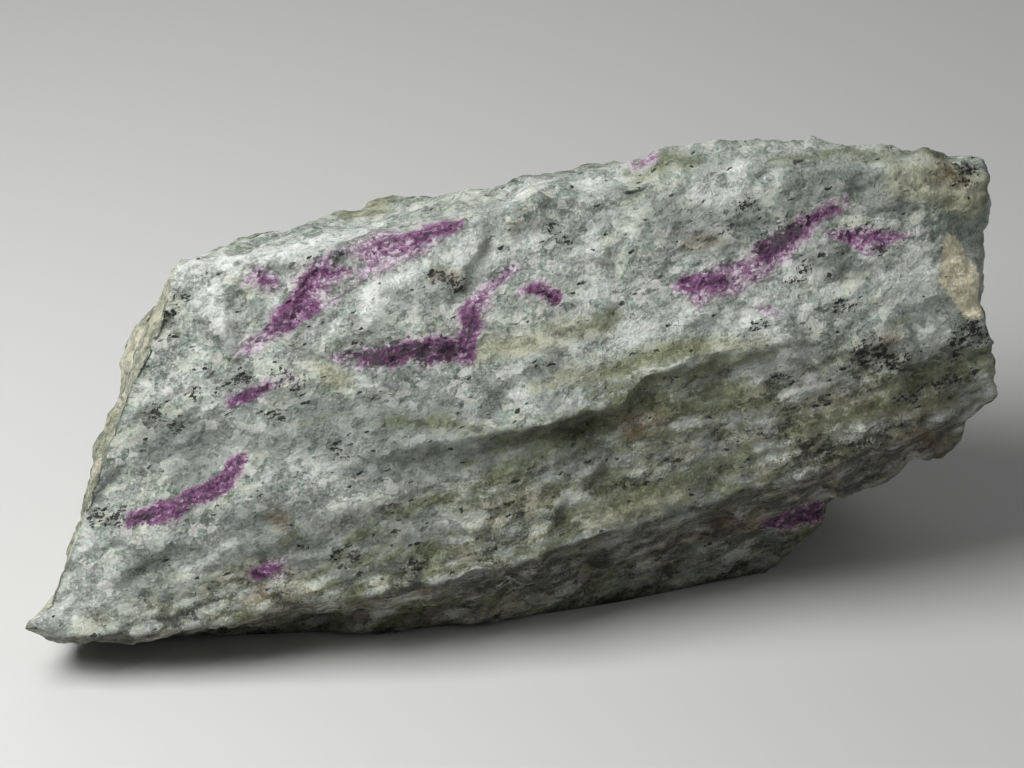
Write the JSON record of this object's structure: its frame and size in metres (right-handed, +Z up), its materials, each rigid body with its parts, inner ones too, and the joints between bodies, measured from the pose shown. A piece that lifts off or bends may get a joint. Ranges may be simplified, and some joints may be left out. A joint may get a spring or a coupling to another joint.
{
  "type": "ruby specimen",
  "caption": "Broken hand-sized block of pale foliated gneiss with flush bands and beads of purplish-red ruby, resting on a flat facet.",
  "frame": {"origin": "middle of the footprint, on the flat facet the block rests on", "axes": "+X along the length towards the higher end, -Y and up out of the broad fracture face, +Z up"},
  "size_m": [0.0918, 0.0444, 0.0437],
  "materials": {
    "gneiss": "rough granular broken rock, pale grey-green with green, white and black grains",
    "ruby": "granular translucent purplish red, broken flush with the rock, glinting"
  },
  "bodies": {
    "root": {"matrix": "gneiss", "ruby_long_band": "ruby", "ruby_round_eye": "ruby", "ruby_hook": "ruby", "ruby_grey_eye": "ruby", "ruby_short_streak": "ruby", "ruby_low_band": "ruby", "ruby_low_bead": "ruby", "ruby_right_band": "ruby", "ruby_right_lens": "ruby", "ruby_right_bead": "ruby", "ruby_crest_chip": "ruby", "ruby_under_lens": "ruby", "ruby_rear_tip": "ruby", "ruby_back_band": "ruby", "ruby_back_lens": "ruby"}
  },
  "joints": []
}
